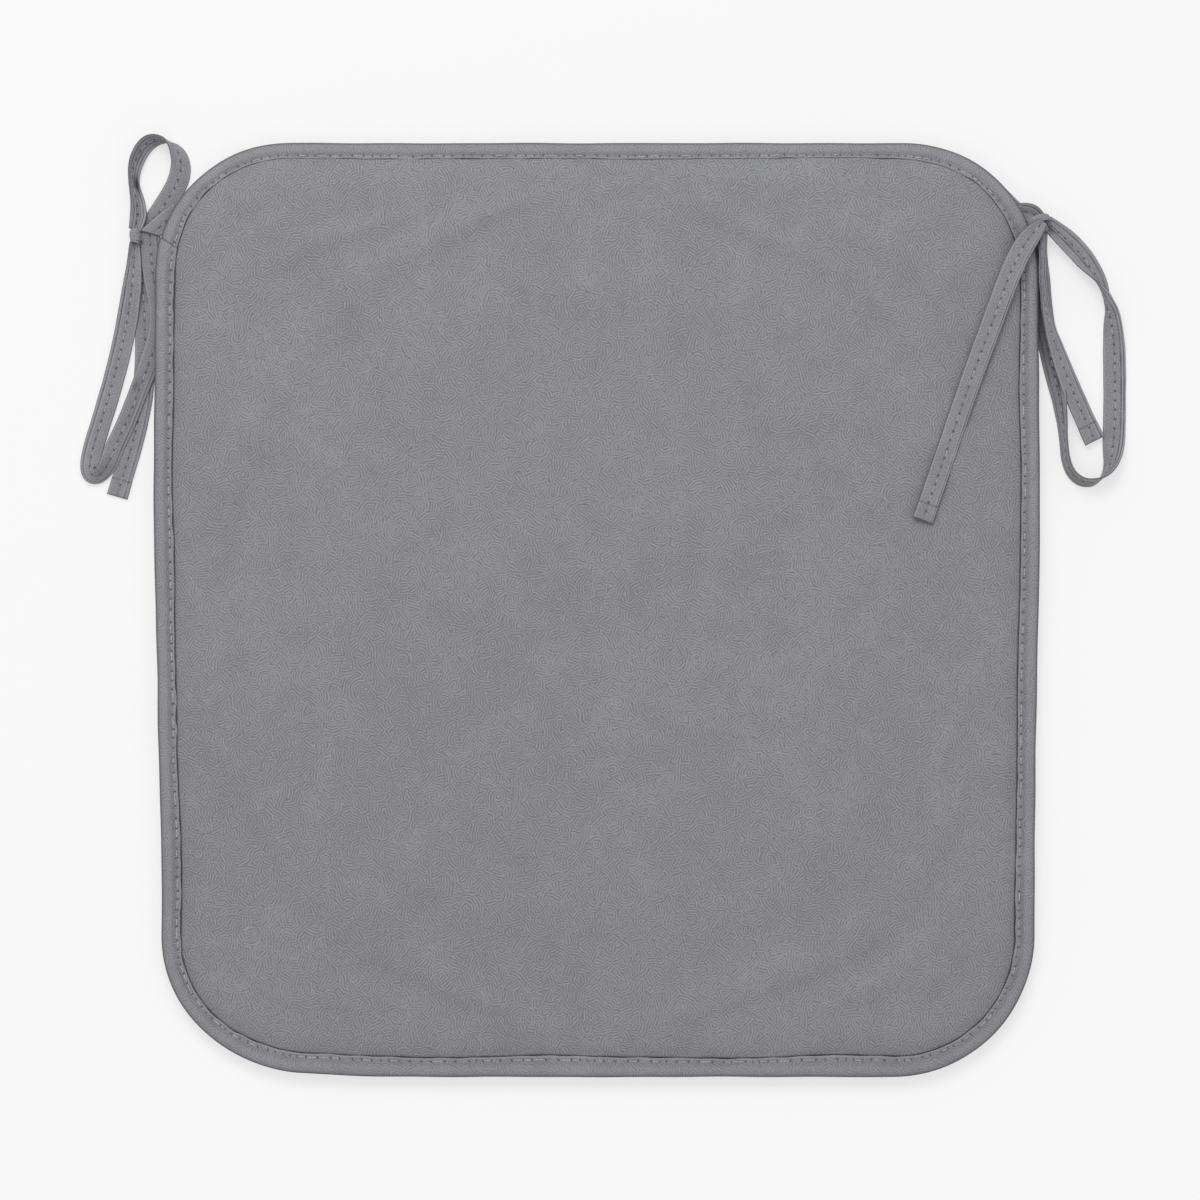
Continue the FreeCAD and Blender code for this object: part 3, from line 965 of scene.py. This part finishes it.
def end_caps(count, around):
    """Faces between the upper and lower rows of points at both ends of a tape."""
    faces = []
    for start, flip in ((0, 1), ((count - 1) * around, -1)):
        top = [start + k for k in range(len(across_tape))]
        under = [top[0]] + [start + around - k for k in range(1, len(across_tape) - 1)] + [top[-1]]
        for k in range(len(top) - 1):
            quad = [top[k], top[k + 1], under[k + 1], under[k]]
            quad = [n for m, n in enumerate(quad) if n not in quad[:m]]
            faces.append(tuple(quad[::flip]))
    return faces


# %% Sweep a tape
def sweep_tape(at, middle, sides, curls, widths, seed, folds=(0.66,), hem=False, skew=0.0,
               closed=False, thickness=tape_thickness, seam=True, crumple=1.0, back_folds=(), tucks=()):
    """Points, faces, painted shade and painted highlight of a tape, and its two rows of holes.

    A tuck is a place where the tape is pushed in: how far along and across it lies, how long
    and broad it is, how deep, and how much painted shade it gets.
    """
    count, long = len(at), at[-1]
    ahead = np.gradient(middle, axis=0)
    if closed:
        ahead = np.roll(middle, -1, 0) - np.roll(middle, 1, 0)
    ahead /= np.linalg.norm(ahead, axis=1)[:, None]
    sides = sides - (sides * ahead).sum(1)[:, None] * ahead
    sides /= np.linalg.norm(sides, axis=1)[:, None]
    normals = np.cross(ahead, sides)
    phase = (at - first_hole) / tape_stitch_pitch
    near_hole = hump(((phase + 0.5) % 1.0 - 0.5) * tape_stitch_pitch, 0, 0.33 * mm)
    near_hole *= seam * ((at > 2 * mm) & (at < long - 2 * mm))
    to_end = np.full(count, 1.0)
    if not closed:
        to_end = np.sqrt(np.clip(np.minimum(at, long - at) / (0.45 * mm), 0.04, 1))
    hemmed = soft_step((hem_depth - (long - at)) / (0.5 * mm)) if hem else np.zeros(count)
    # painted shade along the hem's stitched line and at the tape's end
    hem_line = hem * (0.5 * hump(long - at, hem_depth, 0.3 * mm) + 0.6 * hump(long - at, 0, 0.35 * mm))
    points, pressed, rubbed = [], [], []
    loop = [(a, 1) for a in across_tape] + [(a, -1) for a in across_tape[-2:0:-1]]
    half = tape_width / 2
    rows = {1: [], -1: []}
    for i in range(count):
        curl = math.radians(curls[i]) + 1e-4
        waver = 1 + 0.03 * noise.noise(Vector((at[i] / (9 * mm), seed, 0.0)))
        reach = half * widths[i] * waver * (1 + 0.015 * hemmed[i])
        mean = (1 - math.cos(curl * 0.6)) / curl
        for a, face in loop:
            x, y = math.sin(curl * a) / curl, (1 - math.cos(curl * a)) / curl - mean
            out_x, out_y = -math.sin(curl * a), math.cos(curl * a)
            full = (1 - abs(a) ** 14) ** 0.5
            dip = 1 - 0.42 * seam * hump(a, 0, 0.16) * (0.7 + 0.3 * near_hole[i])
            creased = folds if face > 0 else back_folds
            folded = sum(hump(a, fold, 0.045) for fold in creased)
            beside = sum(hump(a, fold - 0.1, 0.05) for fold in creased)
            # painted shade along the very edges of the tape
            selvedge = hump(abs(a), 1.0, 0.035)
            # a tuck dents the tape and adds painted shade there
            tucked, tuck_dark = 0.0, 0.0
            for along, place, length, breadth, depth, dark in tucks:
                near = hump(at[i], along * mm, length * mm) * hump(a, place, breadth)
                tucked, tuck_dark = tucked + near * depth * mm, tuck_dark + near * dark
            thick = thickness / 2 * full * (dip - 0.28 * folded) * to_end[i] * (1 + 0.6 * hemmed[i])
            bow = 0.20 * noise.noise(Vector((at[i] / (7 * mm), a * 0.9, seed + 3.7)))
            pucker = 0.09 * noise.noise(Vector((at[i] / (2.2 * mm), a * 1.6, seed + 8.1)))
            shift = crumple * (bow + pucker) * mm - tucked
            hole = near_hole[i] * hump(a * half, 0, 0.34 * mm)
            rise = face * (thick - 0.22 * mm * hole) + shift
            spot = middle[i] + sides[i] * (reach * x + out_x * rise) \
                + normals[i] * (reach * y + out_y * rise) + ahead[i] * (skew * a * at[i] / long)
            points.append(spot)
            # painted shade at the holes, along the stitched middle, in the folds, at the edges, at the
            # hem and in the tucks; painted highlight just inside the edges and beside the folds
            uneven = 0.8 + 0.6 * noise.noise(Vector((at[i] / (6 * mm), a * 2, seed + 1.3)))
            sewn = 0.35 * seam * hump(a, 0, 0.06)
            pressed.append(min(1.0, 1.2 * hole + (0.8 * folded + sewn) * uneven + 0.6 * selvedge
                               + hem_line[i] + tuck_dark))
            rubbed.append(max(0.0, 0.40 * hump(abs(a), 0.88, 0.05) + 0.45 * beside - hole))
            if a == 0.0 and near_hole[i] > 0.9 and abs(phase[i] - round(phase[i])) < 0.02:
                rows[face].append((spot + normals[i] * (face * 0.22 * mm), normals[i] * face))
    around = len(loop)
    faces = strip_faces(count, around, closed)
    if not closed:
        faces += end_caps(count, around)
    points = np.array(points)
    points[:, 2] = np.maximum(points[:, 2], 0.12 * mm)
    return points, faces, {"pressed": pressed, "rubbed": rubbed}, rows


def lean_sides(middle, leans):
    """The direction across the tape at each point, leaning from flat."""
    ahead = np.gradient(middle, axis=0)
    ahead /= np.linalg.norm(ahead, axis=1)[:, None]
    flat = np.cross((0.0, 0.0, 1.0), ahead)
    flat /= np.linalg.norm(flat, axis=1)[:, None]
    up = np.cross(ahead, flat)
    leans = np.radians(leans)[:, None]
    return flat * np.cos(leans) + up * np.sin(leans)


mounts = {mount["name"]: Vector(mount["pos_m"]) for mount in frame["record"]["mounts"]}
left_anchor, right_anchor = mounts["left_tie"], mounts["right_tie"]
print("the tapes leave the pad, mm:", np.round(np.array([left_anchor, right_anchor]) / mm, 1).tolist())


def tape(node, anchor, route, seed, base=0.0, hem=False, **shape):
    """The tape that stands for this node, along a route, and the stitches down its middle."""
    at, middle, lie = spaced_route(route, anchor, base)
    # the sweep also gives the painted shade and painted highlight that each point carries
    points, faces, wear_and_painted_light, rows = sweep_tape(
        at, middle, lean_sides(middle, lie[:, 0]), lie[:, 1], lie[:, 2], seed, hem=hem, **shape)
    made = piece(node + "_tape", points, faces, tape_finish, "tie_cloth", (node,), **wear_and_painted_light)
    sewn = stitch_rows(node + "_tape_stitches", [rows[1], rows[-1]], 0.36 * mm, seed + 1,
                       proud=0.2 * mm)
    print(made.name, "is", round(at[-1] / mm, 1), "mm long and from", np.round(points.min(0) / mm, 1),
          "to", np.round(points.max(0) / mm, 1))


# %% [markdown]
# ### The left tie
# The tape comes out from under the binding, folds over and runs down along the pad as one leg
# of a long loop. The loop turns on edge, comes back flat and goes into the knot. From the
# knot a small loop goes up and a tail hangs down under the long loop.

# %% Lay the left tie
left_lower_loop_route = [
    (-8.4, -3.6, 1.8, 0, 0, 1.0),
    (-8.3, -7.5, 1.8, 0, 0, 1.0),
    (-7.8, -14.5, 1.7, -3, 0, 1.0),
    (-6.6, -26.3, 1.7, -5, 0, 1.0),
    (-3.6, -38.3, 1.7, -3, 0, 1.0),
    (-4.6, -50.3, 1.8, -3, 0, 1.0),
    (-8.4, -61.3, 2.6, -14, 5, 0.97),
    (-12.8, -72.8, 3.0, -20, 5, 0.9),
    (-18.2, -86.8, 2.8, -22, 0, 0.9),
    (-23.6, -98.0, 2.8, -24, 0, 0.95),
    (-25.8, -104.6, 3.8, -40, 5, 1.0),
    (-29.6, -110.2, 4.3, -56, 5, 1.0),
    (-34.3, -109.0, 3.0, -20, 0, 1.0),
    (-33.7, -100.6, 1.3, -2, 0, 0.98),
    (-30.2, -88.8, 0.7, 0, 0, 0.98),
    (-25.6, -73.8, 0.7, 0, 0, 1.0),
    (-21.5, -58.8, 1.2, 2, 0, 1.0),
    (-18.1, -43.8, 2.2, 6, 5, 1.0),
    (-15.7, -28.3, 3.2, 12, 20, 0.95),
    (-14.7, -18.3, 3.6, 18, 45, 0.75),
    (-14.6, -9.0, 3.6, 20, 70, 0.55),
]
left_upper_loop_route = [
    (-14.7, -4.4, 3.6, 10, 40, 0.6),
    (-12.8, 0.6, 3.4, 8, 20, 0.85),
    (-13.4, 8.0, 3.6, 34, 45, 0.8),
    (-15.6, 15.8, 3.7, 54, 60, 0.7),
    (-14.6, 25.4, 3.7, 42, 35, 0.9),
    (-9.0, 34.4, 3.7, 44, 25, 0.95),
    (-0.8, 34.9, 3.9, 86, 10, 0.9),
    (5.2, 27.6, 2.4, 150, 5, 0.95),
    (4.6, 18.0, 1.1, 174, 0, 1.0),
    (-1.2, 8.2, 0.8, 180, 0, 1.0),
    (-6.8, 0.0, 0.8, 180, 0, 1.0),
    (-11.9, -4.7, 0.8, 180, 20, 0.8),
]
left_tail_route = [
    (-13.9, -8.0, 0.8, 0, 60, 0.6),
    (-12.3, -20.3, 0.8, 0, 40, 0.8),
    (-10.9, -37.3, 0.7, 0, 20, 0.9),
    (-10.3, -55.3, 0.7, 0, 5, 1.0),
    (-11.1, -73.3, 0.7, 0, 0, 1.0),
    (-14.6, -91.3, 0.7, 0, 0, 1.0),
    (-19.9, -109.3, 0.7, 0, 0, 1.0),
    (-22.6, -118.6, 0.7, 0, 0, 1.0),
]
left_root_route = [
    (4.4, 3.9, 2.2, 0, 0, 1.0),
    (-0.6, 0.0, 2.4, 0, 0, 1.0),
    (-4.4, -3.4, 2.9, 0, 0, 1.0),
    (-7.2, -5.8, 3.1, 0, 0, 1.0),
]
tape("left_tie_root", left_anchor, left_root_route, 101, skew=-3.1 * mm)
tape("left_tie_lower_loop", left_anchor, left_lower_loop_route, 103,
     tucks=[(70, -0.45, 2.5, 0.25, 0.3, 0.5), (79, 0.25, 9.0, 0.07, 0.2, 0.45)])
tape("left_tie_upper_loop", left_anchor, left_upper_loop_route, 107, folds=(-0.66, -0.27, 0.54),
     tucks=[(20, -0.6, 3.5, 0.3, 0.7, 1.0), (7, 0.1, 5.0, 0.12, 0.4, 0.6)])
tape("left_tie_tail", left_anchor, left_tail_route, 109, hem=True)

# %% [markdown]
# ### The right tie
# This tape comes up out of the binding to a knot that stands beside the pad's corner. One
# tail lies over the pad, one runs down beside it, and a wide loop flips over on its way out,
# stands on edge in its bend and comes back under the tail.

# %% Lay the right tie
right_outer_loop_route = [
    (12.6, -8.6, 6.4, 0, 40, 0.7),
    (20.7, -14.8, 5.2, 0, 12, 1.02),
    (29.3, -23.6, 3.4, -8, 10, 1.04),
    (36.4, -33.4, 3.8, -46, 50, 1.0),
    (39.6, -41.4, 3.8, -92, 115, 1.0),
    (41.4, -48.7, 3.2, -144, 60, 1.0),
    (42.9, -62.7, 1.4, -176, 14, 1.08),
    (43.2, -83.7, 1.0, -180, 15, 1.1),
    (42.8, -100.2, 1.3, -176, 15, 1.08),
    (41.2, -113.7, 3.6, -120, 5, 1.0),
    (35.0, -120.4, 4.7, -70, 0, 0.95),
    (26.8, -119.6, 4.7, -68, 15, 0.95),
    (21.8, -112.7, 4.7, -74, 20, 0.9),
    (20.6, -99.7, 4.7, -76, 20, 0.9),
    (19.6, -86.7, 3.7, -54, 20, 0.9),
    (17.2, -74.7, 2.3, -26, 5, 0.95),
    (14.9, -62.7, 1.7, -14, 0, 1.0),
    (12.2, -50.7, 1.6, -12, 0, 1.0),
    (10.8, -34.7, 1.4, -8, 10, 1.0),
    (10.6, -22.3, 1.6, -10, 40, 0.8),
    (10.9, -11.8, 2.2, -10, 60, 0.6),
]
right_top_tail_route = [
    (11.2, -8.8, -1.4, 0, 60, 0.45),
    (7.6, -12.4, 0.2, -6, 30, 0.9),
    (1.6, -20.1, 2.0, -6, 8, 1.04),
    (-4.1, -32.3, 2.3, -4, 0, 1.04),
    (-11.1, -51.9, 1.6, -2, 0, 1.02),
    (-18.5, -71.9, 1.1, 0, 0, 1.0),
    (-25.9, -93.1, 1.0, -4, 0, 1.0),
    (-33.7, -116.1, 1.0, -6, 0, 1.0),
    (-40.8, -136.5, 0.9, -6, 0, 1.0),
]
right_side_tail_route = [
    (11.2, -9.2, 6.6, -30, 60, 0.5),
    (11.0, -20.0, 6.4, -62, 40, 0.85),
    (10.8, -36.7, 5.9, -66, 25, 0.95),
    (14.4, -54.7, 5.3, -50, 5, 1.0),
    (20.9, -72.7, 5.2, -22, 0, 1.0),
    (27.7, -88.7, 3.6, -10, 0, 1.0),
    (34.3, -102.1, 2.3, -4, 0, 1.0),
]
right_root_route = [
    (-7.3, 4.5, 2.2, 0, 0, 0.8),
    (-2.8, 0.1, 2.2, 0, 0, 0.8),
    (1.0, -3.4, 2.3, 0, 0, 0.75),
    (4.6, -4.0, 4.0, 10, 30, 0.95),
    (8.0, -5.4, 5.6, 10, 70, 1.05),
    (11.4, -8.4, 6.4, 0, 70, 0.6),
]
tape("right_tie_root", right_anchor, right_root_route, 113)
# the outer loop's second tuck has no depth: it is only a painted shadow where the side tail shades that
# strand
tape("right_tie_outer_loop", right_anchor, right_outer_loop_route, 127, folds=(-0.27, 0.6),
     back_folds=(-0.54, -0.8), tucks=[(3, -0.5, 3.0, 0.4, 0.3, 0.7), (202, 0.0, 26.0, 2.0, 0.0, 0.42)])
# the top tail's tuck has no depth: it is only a painted shadow along its left edge
tape("right_tie_top_tail", right_anchor, right_top_tail_route, 131, base=top_high, hem=True,
     folds=(0.8,), tucks=[(95, -1.0, 60.0, 0.06, 0.0, 0.4)])
tape("right_tie_side_tail", right_anchor, right_side_tail_route, 137, hem=True,
     tucks=[(6, -0.75, 4.0, 0.45, 0.4, 0.95), (26, -0.2, 9.0, 0.10, 0.3, 0.5)])

# %% [markdown]
# ### The knots
# A knot is the same tape, drawn tight round itself. A ball with creases painted on would not
# hold up from the side, so each knot is a few short turns of tape, every turn a closed band
# with its own tilt. The loops and tails end inside them.


# %% Tie the knots
def wrap(centre, long_way, long_reach, tall_reach, tilt, width, seed):
    """One closed turn of tape in an upright plane that holds long_way, tilted about it."""
    long_way = Vector((*long_way, 0.0)).normalized()
    across = Vector((0.0, 0.0, 1.0)).cross(long_way)
    tall = (Vector((0.0, 0.0, 1.0)) * math.cos(tilt) + across * math.sin(tilt)).normalized()
    axis = long_way.cross(tall).normalized()
    angles = np.arange(64) / 64 * math.tau
    middle = []
    for a in angles:
        c, s = math.cos(a), math.sin(a)
        c, s = math.copysign(abs(c) ** 0.85, c), math.copysign(abs(s) ** 0.85, s)
        middle.append(centre + long_way * (long_reach * c) + tall * (tall_reach * s)
                      + axis * (0.25 * mm * math.sin(2 * a + seed)))
    share = width / tape_width * (1 + 0.10 * np.sin(angles + seed))
    return sweep_tape(angles * (long_reach + tall_reach) / 2, np.array(middle),
                      np.array([axis] * len(angles)), np.full(len(angles), -18.0), share, seed,
                      closed=True, thickness=0.9 * mm, seam=False, crumple=0.8)[:3]


def knot(name, centre, wraps, stands_for):
    """A knot of turns, each with its middle from the centre, its long way, its reach that way and
    upwards, its tilt, its width and a seed; lengths in millimetres."""
    # the painted shade and painted highlight of every turn are gathered for the whole knot
    points, faces, wear_and_painted_light = [], [], {"pressed": [], "rubbed": []}
    for from_centre, long_way, long_reach, tall_reach, tilt, width, seed in wraps:
        more, quads, marks = wrap(centre + Vector(from_centre) * mm, long_way, long_reach * mm,
                                  tall_reach * mm, tilt, width * mm, seed)
        faces += [tuple(len(points) + n for n in quad) for quad in quads]
        points += list(more)
        for what in wear_and_painted_light:
            wear_and_painted_light[what] += marks[what]
    return piece(name, points, faces, tape_finish, "tie_cloth", (stands_for,), **wear_and_painted_light)


left_knot_centre = left_anchor + Vector((-14.3, -7.0, 0.0)) * mm
left_knot_centre.z = 3.4 * mm
left_knot = knot("left_tie_knot_wraps", left_knot_centre, [
    ((0.0, 0.0, 0.0), (1.0, 0.04), 1.85, 2.7, 0.0, 5.7, 1.3),
    ((0.7, -1.2, -0.7), (0.9, 0.4), 1.6, 2.0, 0.5, 3.4, 2.9),
], "left_tie_knot")
right_knot_centre = right_anchor + Vector((10.4, -8.4, 0.0)) * mm
right_knot_centre.z = 6.0 * mm
right_knot = knot("right_tie_knot_wraps", right_knot_centre, [
    ((-0.8, 0.0, 0.0), (0.93, 0.36), 4.6, 3.7, 0.25, 2.8, 0.7),
    ((0.6, -1.0, -0.6), (0.5, -0.86), 3.2, 3.2, -0.3, 3.4, 2.2),
    ((0.2, -0.4, -2.0), (1.0, -0.3), 3.4, 2.8, 0.9, 4.0, 3.1),
], "right_tie_knot")

# %% [markdown]
# ### The tacks
# A few bars of thread hold each tape's sewn end against the binding's underside. They are
# stitches like the others, only set side by side across the tape.


# %% Sew the tacks
def tack(name, anchor, route, seed, stands_for):
    """Four bars of three stitches each across the start of this route, just under the binding."""
    start, end = Vector((*route[0][:2], 0.0)) * mm, Vector((*route[1][:2], 0.0)) * mm
    ahead = (end - start).normalized()
    side = Vector((0.0, 0.0, 1.0)).cross(ahead)
    down = Vector((0.0, 0.0, -1.0))
    rows = []
    for number in range(4):
        middle = anchor + start + ahead * ((0.8 + 1.2 * number) * mm)
        middle.z = 1.92 * mm
        rows.append([(middle + side * (reach * mm), down) for reach in (-3.2, -1.05, 1.05, 3.2)])
    return stitch_rows(name, rows, 0.4 * mm, seed, proud=0.14 * mm, stands_for=(stands_for,))


left_tack = tack("left_tie_tack_stitches", left_anchor, left_root_route, 139,
                 "left_tie_tack_thread")
right_tack = tack("right_tie_tack_stitches", right_anchor, right_root_route, 149,
                  "right_tie_tack_thread")

# %% [markdown]


# %% [markdown]
# ## Floor, light and camera
# The pad lies on a plain white table under soft light. Most of the light comes from all
# round, and the table top is milky and lit a little from below, so shadows are faint. One
# broad lamp beyond the pad's rear edge leaves a shadow where the front edge stands off the
# table. The table is a shade darker towards that lamp, so that it looks the same white all
# over. The camera looks straight down with a long lens.

# %% Set the table
table_half, table_top = 3.0, -0.05 * mm
floor_mesh = bpy.data.meshes.new("white_table")
floor_mesh.from_pydata([(x * table_half, y * table_half, table_top)
                        for x, y in ((-1, -1), (1, -1), (1, 1), (-1, 1))], [], [(0, 1, 2, 3)])
floor = bpy.data.objects.new("white_table", floor_mesh)
bpy.context.scene.collection.objects.link(floor)
table_finish = Finish("white_table_top", Roughness=0.8, Specular_IOR_Level=0.1,
                      Emission_Strength=0.562, Emission_Color=(1.0, 1.0, 1.0, 1.0))
# painted shade: the table's colour darkens towards the rear, to cancel the lamp's brighter light there
to_the_rear = table_finish.node("ShaderNodeSeparateXYZ", {}, {"Vector": table_finish.place()},
                                output=1)
paper = table_finish.cloud(table_finish.place(), 40 * mm) * 0.1
table_finish.set("Base Color", table_finish.tint(
    to_the_rear * 2.0 + paper + 0.45, (0.374, 0.370, 0.370, 1), (0.328, 0.324, 0.324, 1)))
floor_mesh.materials.append(table_finish.material)

# %% Light it
world = bpy.data.worlds.new("soft_studio")
world.use_nodes = True
sky = world.node_tree.nodes["Background"].inputs
sky["Color"].default_value = (1.0, 1.0, 1.0, 1.0)
sky["Strength"].default_value = 0.78
bpy.context.scene.world = world


def lamp(name, place, target, size, power):
    light = bpy.data.lights.new(name, "AREA")
    light.shape = "RECTANGLE"
    light.size, light.size_y = size
    light.energy = power
    made = bpy.data.objects.new(name, light)
    made.location = place
    made.rotation_euler = (Vector(target) - Vector(place)).to_track_quat("-Z", "Y").to_euler()
    bpy.context.scene.collection.objects.link(made)


lamp("rear_softbox", (-0.25, 1.1, 1.35), (0, 0, 0), (1.0, 0.7), 14.0)
bpy.context.scene.view_settings.view_transform = "Standard"

# %% Hang the camera
view_width = 0.5129
view_centre = Vector((0.0013, 0.0043, 0.008))
lens, sensor = 85.0, 36.0
camera_data = bpy.data.cameras.new("camera_above")
camera_data.lens, camera_data.sensor_width = lens, sensor
camera = bpy.data.objects.new("camera_above", camera_data)
camera.location = view_centre + Vector((0.0, 0.0, view_width * lens / sensor))
bpy.context.scene.collection.objects.link(camera)
bpy.context.scene.camera = camera
print("camera", round(camera.location.z, 3), "m above the table")
